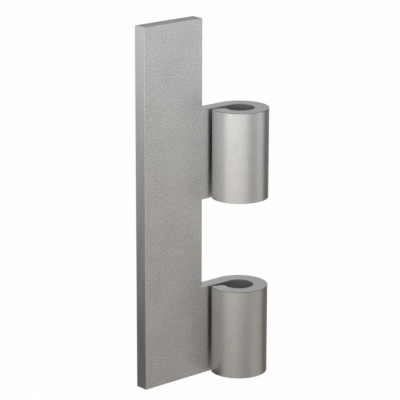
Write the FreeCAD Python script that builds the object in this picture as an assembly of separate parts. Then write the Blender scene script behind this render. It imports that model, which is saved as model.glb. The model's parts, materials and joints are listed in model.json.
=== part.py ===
"""One leaf of a rolled weld-on hinge, bent from a single steel plate.

One long edge of the plate carries two tabs, and each tab is rolled forward into an open
knuckle whose end stops just short of the plate's front face. A second leaf of the same form,
turned end for end, fills the two gaps, and one pin then runs through all four knuckles.

The hinge axis is +Z and z = 0 is the leaf's lower end. The plate lies towards -X, its back
looks to +Y, and the knuckles stand out towards -Y. Sizes are in millimetres.
"""
import FreeCAD, Part
import math
import os

# The plate
leaf_height = 130.0
sheet_thickness = 5.0
plate_width = 26.0

# The rolled knuckles
bore_diameter = 10.5
seam_gap = 1.0
knuckles_in_hinge = 4

# Room for the other leaf: between knuckles, and between its knuckle and this plate's edge
end_play = 0.1
notch_clearance = 2.75

# Broken edges left by tumbling and blasting
edge_radius = 0.1

bore_radius = bore_diameter / 2
knuckle_radius = bore_radius + sheet_thickness
axis_to_notch = knuckle_radius + notch_clearance
axis_to_free_edge = axis_to_notch + plate_width
knuckle_length = (leaf_height - (knuckles_in_hinge - 1) * end_play) / knuckles_in_hinge
knuckle_pitch = knuckle_length + end_play

# Angles about the hinge axis, anticlockwise from +X
roll_start = 90.0
tail_rise = math.degrees(math.asin((bore_radius - seam_gap) / knuckle_radius))
roll_end = -180.0 - tail_rise


def on_circle(radius, degrees):
    """A point of the section at a radius and an angle about the hinge axis."""
    angle = math.radians(degrees)
    return FreeCAD.Vector(radius * math.cos(angle), radius * math.sin(angle), 0)


def rolled_section():
    """The bent plate seen along the axis: flat leaf, round knuckle, and the tail's square end."""
    roll_middle = (roll_start + roll_end) / 2
    back_corner = FreeCAD.Vector(-axis_to_free_edge, knuckle_radius, 0)
    front_corner = FreeCAD.Vector(-axis_to_free_edge, bore_radius, 0)
    outer_start, outer_middle, outer_end = (
        on_circle(knuckle_radius, angle) for angle in (roll_start, roll_middle, roll_end)
    )
    inner_start, inner_middle, inner_end = (
        on_circle(bore_radius, angle) for angle in (roll_start, roll_middle, roll_end)
    )
    outline = [
        Part.LineSegment(back_corner, outer_start),
        Part.Arc(outer_start, outer_middle, outer_end),
        Part.LineSegment(outer_end, inner_end),
        Part.Arc(inner_end, inner_middle, inner_start),
        Part.LineSegment(inner_start, front_corner),
        Part.LineSegment(front_corner, back_corner),
    ]
    return Part.Face(Part.Wire([curve.toShape() for curve in outline]))


def gap_block(place):
    """The block of space that the other leaf's knuckle takes at one place along the axis."""
    low = place * knuckle_pitch - end_play
    high = min(low + knuckle_length + 2 * end_play, leaf_height)
    reach = axis_to_notch + 2 * knuckle_radius
    depth = 4 * knuckle_radius
    corner = FreeCAD.Vector(-axis_to_notch, -depth / 2, low)
    return Part.makeBox(reach, depth, high - low, corner)


def outward_normal(face, point):
    """The direction out of the solid at a point of one of its faces."""
    return face.normalAt(*face.Surface.parameter(point))


def break_edges(solid):
    """Round every outer edge. Smooth joins and the inner corners of the gaps stay as they are."""
    smooth_limit = math.radians(5)
    probe = edge_radius / 10
    sharp_edges = []
    for edge in solid.Edges:
        middle = edge.valueAt((edge.FirstParameter + edge.LastParameter) / 2)
        faces = solid.ancestorsOfType(edge, Part.Face)
        first, second = (outward_normal(face, middle) for face in faces)
        inner_corner = solid.isInside(middle + (first - second) * probe, probe / 10, False)
        if first.getAngle(second) > smooth_limit and not inner_corner:
            sharp_edges.append(edge)
    return solid.makeFillet(edge_radius, sharp_edges)


def hinge_leaf():
    """The section drawn out to the leaf's full height, with the gaps cut and the edges broken."""
    leaf = rolled_section().extrude(FreeCAD.Vector(0, 0, leaf_height))
    for place in range(1, knuckles_in_hinge, 2):
        leaf = leaf.cut(gap_block(place))
    return break_edges(leaf)


os.makedirs("parts", exist_ok=True)
hinge_leaf().exportStep("parts/hinge_leaf.step")
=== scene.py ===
import json
import math

import bmesh
import bpy
from mathutils import Matrix, Vector


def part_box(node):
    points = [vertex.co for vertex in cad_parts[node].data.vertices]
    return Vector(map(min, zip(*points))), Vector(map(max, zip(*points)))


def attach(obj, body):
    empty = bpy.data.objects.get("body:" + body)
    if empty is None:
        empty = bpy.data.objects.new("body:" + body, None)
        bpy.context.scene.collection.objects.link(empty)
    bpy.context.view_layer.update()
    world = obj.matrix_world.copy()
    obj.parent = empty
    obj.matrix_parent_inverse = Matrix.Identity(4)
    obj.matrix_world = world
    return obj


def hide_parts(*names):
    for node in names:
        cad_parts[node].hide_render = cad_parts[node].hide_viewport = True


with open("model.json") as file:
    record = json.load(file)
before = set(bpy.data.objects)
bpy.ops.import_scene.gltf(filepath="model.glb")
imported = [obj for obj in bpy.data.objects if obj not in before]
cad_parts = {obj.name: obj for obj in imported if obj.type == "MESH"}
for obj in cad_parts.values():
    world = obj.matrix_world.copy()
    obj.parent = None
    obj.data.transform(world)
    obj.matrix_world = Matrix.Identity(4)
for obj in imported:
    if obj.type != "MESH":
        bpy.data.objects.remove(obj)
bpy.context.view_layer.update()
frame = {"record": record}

# Hinge leaf: one steel plate, five millimetres thick, whose two tabs are rolled forward round the
# pin's axis until their sheared ends almost meet the plate again, which leaves the open seam. The
# edges are broken by tumbling, and the leaf is blasted to an even satin grey.
millimetre = 0.001
micrometre = 0.000001
mounts = {mount["name"]: mount for mount in frame["record"]["mounts"]}
lowest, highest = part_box("hinge_leaf")
free_edge = lowest.x
leaf_height = highest.z
bore_radius = mounts["pin_bore"]["dims"]["r_mm"] * millimetre
knuckle_radius = mounts["plate_back"]["pos_m"][1]
lower_knuckle_top = mounts["lower_bearing_face"]["pos_m"][2]
upper_knuckle_top = mounts["upper_bearing_face"]["pos_m"][2]
upper_knuckle_bottom = upper_knuckle_top - lower_knuckle_top
notch_clearance = 2.75 * millimetre
notch_edge = -knuckle_radius - notch_clearance
seam_gap = 1.0 * millimetre
edge_radius = 0.1 * millimetre
edge_segments = 3
roll_steps = 144
quarter_turn = 90
tail_rise = math.asin((bore_radius - seam_gap) / knuckle_radius)
roll_angle = math.radians(3 * quarter_turn) + tail_rise
sharp_angle = math.radians(30)
pin_axis = (0, 0, 1)
merge_distance = 0.001 * millimetre

# The least share of a face's normal along a direction for it to look that way, and squarely so
facing = 0.5
facing_squarely = 0.99

# The steel's grain: how finely pits and clouds break up, and the noise levels that become 0 and 1
pit_detail = 2.0
cloud_detail = 4.0
noise_low = 0.25
noise_high = 0.75


def grain_group():
    """A node group for worked steel: fine pits, wide clouds, and the tone that both make."""
    group = bpy.data.node_groups.new("steel_grain", "ShaderNodeTree")
    for name, kind in (
        ("Position", "NodeSocketVector"),
        ("Pits per metre", "NodeSocketFloat"),
        ("Clouds per metre", "NodeSocketFloat"),
        ("Cloud share", "NodeSocketFloat"),
    ):
        group.interface.new_socket(name, in_out="INPUT", socket_type=kind)
    for name in ("Pits", "Tone"):
        group.interface.new_socket(name, in_out="OUTPUT", socket_type="NodeSocketFloat")
    nodes, links = group.nodes, group.links
    given = nodes.new("NodeGroupInput")
    result = nodes.new("NodeGroupOutput")
    stretched = {}
    for rate, detail in (("Pits per metre", pit_detail), ("Clouds per metre", cloud_detail)):
        noise = nodes.new("ShaderNodeTexNoise")
        noise.inputs["Detail"].default_value = detail
        links.new(given.outputs["Position"], noise.inputs["Vector"])
        links.new(given.outputs[rate], noise.inputs["Scale"])
        contrast = nodes.new("ShaderNodeMapRange")
        contrast.inputs["From Min"].default_value = noise_low
        contrast.inputs["From Max"].default_value = noise_high
        links.new(noise.outputs["Fac"], contrast.inputs["Value"])
        stretched[rate] = contrast.outputs["Result"]
    tone = nodes.new("ShaderNodeMix")
    links.new(given.outputs["Cloud share"], tone.inputs["Factor"])
    links.new(stretched["Pits per metre"], tone.inputs["A"])
    links.new(stretched["Clouds per metre"], tone.inputs["B"])
    links.new(stretched["Pits per metre"], result.inputs["Pits"])
    links.new(tone.outputs["Result"], result.inputs["Tone"])
    return group


steel_grain = grain_group()


def steel_finish(
    name, dark, light, pits, pit_depth, clouds, cloud_share, gloss_range, grain_run=(1, 1, 1)
):
    """A bare steel surface.

    It mixes a dark and a light grey by its grain. Pits and clouds are counted per metre, the
    gloss range is the least and the greatest roughness, and the grain run is how densely the
    grain repeats along X, Y and Z.
    """
    finish = bpy.data.materials.new(name)
    finish.use_nodes = True
    nodes, links = finish.node_tree.nodes, finish.node_tree.links
    shader = nodes["Principled BSDF"]
    shader.inputs["Metallic"].default_value = 1.0
    place = nodes.new("ShaderNodeTexCoord")
    run = nodes.new("ShaderNodeMapping")
    run.inputs["Scale"].default_value = grain_run
    links.new(place.outputs["Object"], run.inputs["Vector"])
    grain = nodes.new("ShaderNodeGroup")
    grain.node_tree = steel_grain
    grain.inputs["Pits per metre"].default_value = pits
    grain.inputs["Clouds per metre"].default_value = clouds
    grain.inputs["Cloud share"].default_value = cloud_share
    links.new(run.outputs["Vector"], grain.inputs["Position"])
    tone = nodes.new("ShaderNodeMix")
    tone.data_type = "RGBA"
    tone.inputs["A"].default_value = (dark, dark, dark, 1)
    tone.inputs["B"].default_value = (light, light, light, 1)
    links.new(grain.outputs["Tone"], tone.inputs["Factor"])
    links.new(tone.outputs["Result"], shader.inputs["Base Color"])
    gloss = nodes.new("ShaderNodeMapRange")
    gloss.inputs["To Min"].default_value = gloss_range[0]
    gloss.inputs["To Max"].default_value = gloss_range[1]
    links.new(grain.outputs["Pits"], gloss.inputs["Value"])
    links.new(gloss.outputs["Result"], shader.inputs["Roughness"])
    bump = nodes.new("ShaderNodeBump")
    bump.inputs["Distance"].default_value = pit_depth
    links.new(grain.outputs["Pits"], bump.inputs["Height"])
    links.new(bump.outputs["Normal"], shader.inputs["Normal"])
    return finish


# The blasted front of the plate
plate_face = steel_finish(
    "satin_steel", dark=0.455, light=0.867, pits=1700, pit_depth=10 * micrometre,
    clouds=110, cloud_share=0.15, gloss_range=(0.36, 0.42),
)
# The outside of the rolls and the back, smoother than the front
roll_face = steel_finish(
    "rolled_steel", dark=0.579, light=0.735, pits=1700, pit_depth=6 * micrometre,
    clouds=110, cloud_share=0.15, gloss_range=(0.29, 0.33), grain_run=(1, 1, 1.5),
)
# The inside of the rolls, rougher, and painted darker than the outside as shade in the bore
bore_painted_shade = steel_finish(
    "bore_painted_shade_steel", dark=0.386, light=0.485, pits=1700, pit_depth=8 * micrometre,
    clouds=110, cloud_share=0.25, gloss_range=(0.55, 0.61),
)
# The sheared ends of the plate, rougher, and painted darker as shade on its top face
sheared_end_painted_shade = steel_finish(
    "sheared_painted_shade_steel", dark=0.505, light=0.604, pits=1500, pit_depth=6 * micrometre,
    clouds=300, cloud_share=0.5, gloss_range=(0.50, 0.56),
)
# The sawn faces, with long marks up and down
cut_face = steel_finish(
    "cut_steel", dark=0.608, light=0.707, pits=1500, pit_depth=4 * micrometre,
    clouds=300, cloud_share=0.5, gloss_range=(0.32, 0.36), grain_run=(1, 1, 0.06),
)
# The rounded edges, painted lighter as a highlight along them, and the rolls' ends in the seam,
# painted light that lifts the seam's shade
edge_highlight_and_seam_light = steel_finish(
    "painted_highlight_and_seam_light_steel", dark=0.732, light=0.832, pits=1700, pit_depth=4 * micrometre,
    clouds=200, cloud_share=0.5, gloss_range=(0.31, 0.36),
)
# A painted dark line round the knuckles' upper rims, the painted shade of a dark reflection in
# their rounding
rim_painted_shade = steel_finish(
    "rim_painted_shade_steel", dark=0.05, light=0.10, pits=1700, pit_depth=4 * micrometre,
    clouds=200, cloud_share=0.5, gloss_range=(0.35, 0.45),
)
finishes = (roll_face, plate_face, bore_painted_shade, sheared_end_painted_shade, cut_face, edge_highlight_and_seam_light, rim_painted_shade)


def select_in_mesh(parts, wanted):
    """Selects the faces or edges of the mesh being edited that the test wants, and no others."""
    for part in parts:
        part.select_set(False)
    for part in parts:
        if wanted(part):
            part.select_set(True)


def is_tab_root(face):
    """True for the pieces of the plate's right edge that the tabs grow from."""
    height = face.calc_center_median().z
    in_lower_tab = height < lower_knuckle_top
    in_upper_tab = upper_knuckle_bottom < height < upper_knuckle_top
    return face.normal.x > facing and (in_lower_tab or in_upper_tab)


def is_plate_front(face):
    """True for the flat front of the plate and its tabs, as far as the rolls."""
    middle = face.calc_center_median()
    return face.normal.y < -facing_squarely and middle.x < 0 < middle.y


def is_bore(face):
    """True for the inside of the rolls."""
    return face.calc_center_median().xy.length < bore_radius


def is_cut_face(face):
    """True for the upper and lower ends of the plate and knuckles and the plate's upright edges."""
    on_the_plate = face.calc_center_median().x < notch_edge + edge_radius
    upright = abs(face.normal.x) > facing_squarely and on_the_plate
    return upright or abs(face.normal.z) > facing


def is_plate_end(face):
    """True for the plate's upper and lower end, without the knuckles'."""
    return abs(face.normal.z) > facing and face.calc_center_median().x < notch_edge


def is_tail_end(face):
    """True for the ends of the rolls, which face the plate across the seam."""
    middle = face.calc_center_median()
    return face.normal.y > facing and middle.y < bore_radius < middle.xy.length


def is_knuckle_rim(face):
    """True for the rounded outer rims at the knuckles' upper ends."""
    middle = face.calc_center_median()
    on_the_outside = 0 < knuckle_radius - middle.xy.length < edge_radius
    depths = (top - middle.z for top in (lower_knuckle_top, upper_knuckle_top))
    return on_the_outside and any(0 < depth < edge_radius for depth in depths)


def give_finish(finish, wanted):
    """Gives a finish to the faces of the mesh being edited that the test wants."""
    bpy.ops.mesh.select_mode(type="FACE")
    select_in_mesh(bmesh.from_edit_mesh(leaf.data).faces, wanted)
    leaf.active_material_index = finishes.index(finish)
    bpy.ops.object.material_slot_assign()


def is_outer_edge(edge):
    """True for the edges that stand out, which tumbling rounds. Inner corners stay sharp."""
    return edge.is_convex and edge.calc_face_angle() > sharp_angle


bpy.ops.object.select_all(action="DESELECT")
plate_middle = Vector((
    (free_edge + notch_edge) / 2,
    (bore_radius + knuckle_radius) / 2,
    leaf_height / 2,
))
plate_size = Vector((notch_edge - free_edge, knuckle_radius - bore_radius, leaf_height))
bpy.ops.mesh.primitive_cube_add(size=1, location=plate_middle, scale=plate_size)
leaf = bpy.context.object
leaf.name = "rolled_leaf"
for finish in finishes:
    leaf.data.materials.append(finish)
bpy.ops.object.transform_apply(location=True, rotation=True, scale=True)
bpy.ops.object.mode_set(mode="EDIT")
for level in (lower_knuckle_top, upper_knuckle_bottom, upper_knuckle_top):
    bpy.ops.mesh.select_all(action="SELECT")
    bpy.ops.mesh.bisect(plane_co=(0, 0, level), plane_no=pin_axis)

# The tabs are drawn out of the plate's edge as far as the pin's axis, and rolled round it.
bpy.ops.mesh.select_mode(type="FACE")
select_in_mesh(bmesh.from_edit_mesh(leaf.data).faces, is_tab_root)
bpy.ops.mesh.extrude_region_move(TRANSFORM_OT_translate={"value": (-notch_edge, 0, 0)})
bpy.ops.mesh.spin(steps=roll_steps, angle=roll_angle, center=(0, 0, 0), axis=pin_axis)
bpy.ops.mesh.select_all(action="SELECT")
bpy.ops.mesh.remove_doubles(threshold=merge_distance)
bpy.ops.mesh.normals_make_consistent(inside=False)
give_finish(plate_face, is_plate_front)
# The bores get the finish that is painted darker as shade.
give_finish(bore_painted_shade, is_bore)
give_finish(cut_face, is_cut_face)
# The plate's ends get the sheared finish, painted darker as shade on the top face.
give_finish(sheared_end_painted_shade, is_plate_end)
# The rolls' ends in the seam get the light finish, painted light that lifts the seam's shade.
give_finish(edge_highlight_and_seam_light, is_tail_end)

bpy.ops.mesh.select_mode(type="EDGE")
select_in_mesh(bmesh.from_edit_mesh(leaf.data).edges, is_outer_edge)
# The rounded edges get the light finish, a painted highlight along them.
bpy.ops.mesh.bevel(
    offset=edge_radius, segments=edge_segments, affect="EDGES", clamp_overlap=False,
    material=finishes.index(edge_highlight_and_seam_light),
)
# The knuckles' upper rims get a painted dark line of shade.
give_finish(rim_painted_shade, is_knuckle_rim)
bpy.ops.object.mode_set(mode="OBJECT")
bpy.ops.object.shade_smooth_by_angle(angle=sharp_angle)
flat_shading = leaf.modifiers.new("flat_faces_stay_flat", "WEIGHTED_NORMAL")
flat_shading.keep_sharp = True
bpy.ops.object.modifier_apply(modifier=flat_shading.name)

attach(leaf, "root")
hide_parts("hinge_leaf")

# Camera: a long lens a little above the leaf and to its left, at the photograph's viewing angle.
# Lengths are in metres, and the focal length is in pixels of the picture.
view_azimuth = math.radians(-41.02)
view_elevation = math.radians(15.909)
view_roll = math.radians(0.12)
view_distance = 0.73857
aim_right = -0.013965
aim_height = 0.063608
image_width = 400
focal_pixels = 2082.0
sensor_width = 36.0

to_camera = Vector((
    math.sin(view_azimuth) * math.cos(view_elevation),
    -math.cos(view_azimuth) * math.cos(view_elevation),
    math.sin(view_elevation),
))
image_right = Vector((math.cos(view_azimuth), math.sin(view_azimuth), 0))
view_forward = Vector((-math.sin(view_azimuth), math.cos(view_azimuth), 0))
upward = Vector((0, 0, 1))
aim = image_right * aim_right + upward * aim_height
camera_data = bpy.data.cameras.new("camera")
camera_data.sensor_width = sensor_width
camera_data.lens = sensor_width * focal_pixels / image_width
camera = bpy.data.objects.new("camera", camera_data)
bpy.context.scene.collection.objects.link(camera)
turn = to_camera.to_track_quat("Z", "Y").to_matrix() @ Matrix.Rotation(view_roll, 3, "Z")
camera.matrix_world = Matrix.Translation(aim + to_camera * view_distance) @ turn.to_4x4()
bpy.context.scene.camera = camera

# Floor: a wide white sheet that the leaf stands on. It shows as white in the picture, and a small
# matt share of it takes the leaf's soft shadow. The steel mirrors the card below it in its place.
floor_size = 8.0
floor_glow = 0.985
paper_grey = 0.9
bpy.ops.object.select_all(action="DESELECT")
bpy.ops.mesh.primitive_plane_add(size=floor_size, location=(0, 0, 0))
floor = bpy.context.object
floor.name = "floor"
paper = bpy.data.materials.new("white_paper")
paper.use_nodes = True
nodes, links = paper.node_tree.nodes, paper.node_tree.links
nodes.remove(nodes["Principled BSDF"])
matt = nodes.new("ShaderNodeBsdfDiffuse")
matt.inputs["Color"].default_value = (paper_grey, paper_grey, paper_grey, 1)
glow = nodes.new("ShaderNodeEmission")
ray = nodes.new("ShaderNodeLightPath")
seen_or_mirrored = nodes.new("ShaderNodeMath")
seen_or_mirrored.operation = "MAXIMUM"
links.new(ray.outputs["Is Camera Ray"], seen_or_mirrored.inputs[0])
links.new(ray.outputs["Is Glossy Ray"], seen_or_mirrored.inputs[1])
seen_at_all = nodes.new("ShaderNodeMath")
seen_at_all.operation = "MAXIMUM"
links.new(seen_or_mirrored.outputs[0], seen_at_all.inputs[0])
links.new(ray.outputs["Is Transmission Ray"], seen_at_all.inputs[1])
share = nodes.new("ShaderNodeMath")
share.operation = "MULTIPLY"
share.inputs[1].default_value = floor_glow
links.new(seen_at_all.outputs[0], share.inputs[0])
mix = nodes.new("ShaderNodeMixShader")
links.new(share.outputs[0], mix.inputs["Fac"])
links.new(matt.outputs["BSDF"], mix.inputs[1])
links.new(glow.outputs["Emission"], mix.inputs[2])
links.new(mix.outputs["Shader"], nodes["Material Output"].inputs["Surface"])
floor.data.materials.append(paper)
floor.visible_glossy = False

# Card: a large sheet below the floor that glows in soft greys, which only the steel mirrors. Its
# greys are painted light and shade. It is palest towards the camera and far from the leaf, mostly
# darker near it as a painted shadow of the leaf, with painted dark bands at the right rear and at
# the left, and its glow is warm near the leaf and almost neutral further out.
card_size = 8.0
card_depth = 0.02
near_reach = 0.11
far_reach = 0.38
warm_reach = 0.2
cool_reach = 0.42
warm_tint = (1.085, 1.0, 0.91)
cool_tint = (1.012, 1.0, 0.975)
full_turn = 4 * quarter_turn
# The card's painted greys of light and shade near the leaf and far from it, by bearing in degrees.
# A bearing is 0 towards the camera and grows to the picture's right.
first_bearing = -54
card_levels = {
    -54: (0.41, 0.94),
    -15: (0.46, 0.95),
    22: (0.31, 0.87),
    37: (0.32, 0.51),
    60: (0.46, 0.36),
    95: (0.37, 0.70),
    115: (0.12, 0.10),
    140: (0.20, 0.17),
    170: (0.40, 0.50),
    215: (0.40, 0.50),
    245: (0.08, 0.33),
    275: (0.08, 0.27),
    295: (0.28, 0.52),
}


def level_ramp(nodes, levels):
    """A ramp of greys once round the card, from the first bearing back to it."""
    ramp = nodes.new("ShaderNodeValToRGB")
    stops = ramp.color_ramp.elements
    around = [((bearing - first_bearing) / full_turn, level) for bearing, level in levels.items()]
    for position, level in around[1:]:
        stops.new(position).color = (level, level, level, 1)
    first_level = around[0][1]
    for end in (stops[0], stops[-1]):
        end.color = (first_level, first_level, first_level, 1)
    return ramp


def reach_share(nodes, links, distance, start, stop):
    """How far a distance from the leaf is on its soft way from the start to the stop, 0 to 1."""
    share = nodes.new("ShaderNodeMapRange")
    share.interpolation_type = "SMOOTHSTEP"
    share.inputs["From Min"].default_value = start
    share.inputs["From Max"].default_value = stop
    links.new(distance, share.inputs["Value"])
    return share.outputs["Result"]


# The card is turned so that its own -X axis, where the angle round it starts, is the first bearing.
bpy.ops.object.select_all(action="DESELECT")
card_turn = view_azimuth + math.radians(first_bearing + quarter_turn)
card_place = -upward * card_depth
bpy.ops.mesh.primitive_plane_add(size=card_size, location=card_place, rotation=(0, 0, card_turn))
card = bpy.context.object
card.name = "graded_card"
card_painted_light_and_shade = bpy.data.materials.new("graded_card")
card_painted_light_and_shade.use_nodes = True
nodes, links = card_painted_light_and_shade.node_tree.nodes, card_painted_light_and_shade.node_tree.links
nodes.remove(nodes["Principled BSDF"])
spot = nodes.new("ShaderNodeTexCoord")
split = nodes.new("ShaderNodeSeparateXYZ")
links.new(spot.outputs["Object"], split.inputs["Vector"])
angle = nodes.new("ShaderNodeMath")
angle.operation = "ARCTAN2"
links.new(split.outputs["Y"], angle.inputs[0])
links.new(split.outputs["X"], angle.inputs[1])
turn_share = nodes.new("ShaderNodeMapRange")
turn_share.inputs["From Min"].default_value = -math.pi
turn_share.inputs["From Max"].default_value = math.pi
links.new(angle.outputs["Value"], turn_share.inputs["Value"])
from_middle = nodes.new("ShaderNodeVectorMath")
from_middle.operation = "LENGTH"
links.new(spot.outputs["Object"], from_middle.inputs[0])
distance = from_middle.outputs["Value"]
near_grey = level_ramp(nodes, {bearing: near for bearing, (near, far) in card_levels.items()})
far_grey = level_ramp(nodes, {bearing: far for bearing, (near, far) in card_levels.items()})
links.new(turn_share.outputs["Result"], near_grey.inputs["Fac"])
links.new(turn_share.outputs["Result"], far_grey.inputs["Fac"])
grey = nodes.new("ShaderNodeMix")
grey.data_type = "RGBA"
links.new(reach_share(nodes, links, distance, near_reach, far_reach), grey.inputs["Factor"])
links.new(near_grey.outputs["Color"], grey.inputs["A"])
links.new(far_grey.outputs["Color"], grey.inputs["B"])
tint = nodes.new("ShaderNodeMix")
tint.data_type = "RGBA"
tint.inputs["A"].default_value = (*warm_tint, 1)
tint.inputs["B"].default_value = (*cool_tint, 1)
links.new(reach_share(nodes, links, distance, warm_reach, cool_reach), tint.inputs["Factor"])
tinted_grey = nodes.new("ShaderNodeMix")
tinted_grey.data_type = "RGBA"
tinted_grey.blend_type = "MULTIPLY"
tinted_grey.inputs["Factor"].default_value = 1
links.new(grey.outputs["Result"], tinted_grey.inputs["A"])
links.new(tint.outputs["Result"], tinted_grey.inputs["B"])
# The card glows with its painted light and shade.
shade = nodes.new("ShaderNodeEmission")
links.new(tinted_grey.outputs["Result"], shade.inputs["Color"])
links.new(shade.outputs["Emission"], nodes["Material Output"].inputs["Surface"])
card.data.materials.append(card_painted_light_and_shade)
card.visible_camera = False
card.visible_diffuse = False
card.visible_shadow = False

# Lamps: a ring of soft boxes that stand round the leaf on the floor, brightest at the left front
# and dimmest at the right rear. One box at the right is brighter than its neighbours, and an even
# dim surround fills the rest.
ring_radius = 0.5
ring_height = 0.7
ring_boxes = 12
ring_radiance = 0.44
ring_swing = 0.28
brightest_bearing = -60
fill_bearing = 75
fill_radiance = 0.3
surround_grey = 0.22
studio = bpy.data.worlds.new("studio")
studio.use_nodes = True
surround = studio.node_tree.nodes["Background"]
surround.inputs["Color"].default_value = (surround_grey, surround_grey, surround_grey, 1)
bpy.context.scene.world = studio


def bearing_direction(degrees):
    """The level direction from the leaf at a bearing."""
    bearing = math.radians(degrees)
    return image_right * math.sin(bearing) - view_forward * math.cos(bearing)


box_step = full_turn / ring_boxes
box_width = 2 * ring_radius * math.tan(math.pi / ring_boxes)
for number in range(ring_boxes):
    box_bearing = number * box_step + box_step / 2
    outward = bearing_direction(box_bearing)
    radiance = ring_radiance + ring_swing * math.cos(math.radians(box_bearing - brightest_bearing))
    if box_bearing == fill_bearing:
        radiance += fill_radiance
    light = bpy.data.lights.new(f"soft_box_{number + 1}", "AREA")
    light.shape = "RECTANGLE"
    light.size = box_width
    light.size_y = ring_height
    # A flat lamp gives off pi times its radiance from each square metre.
    light.energy = radiance * math.pi * box_width * ring_height
    lamp = bpy.data.objects.new(light.name, light)
    lamp.location = outward * ring_radius + upward * ring_height / 2
    lamp.rotation_euler = outward.to_track_quat("Z", "Y").to_euler()
    lamp.visible_camera = False
    bpy.context.scene.collection.objects.link(lamp)

bpy.context.scene.view_settings.view_transform = "Standard"
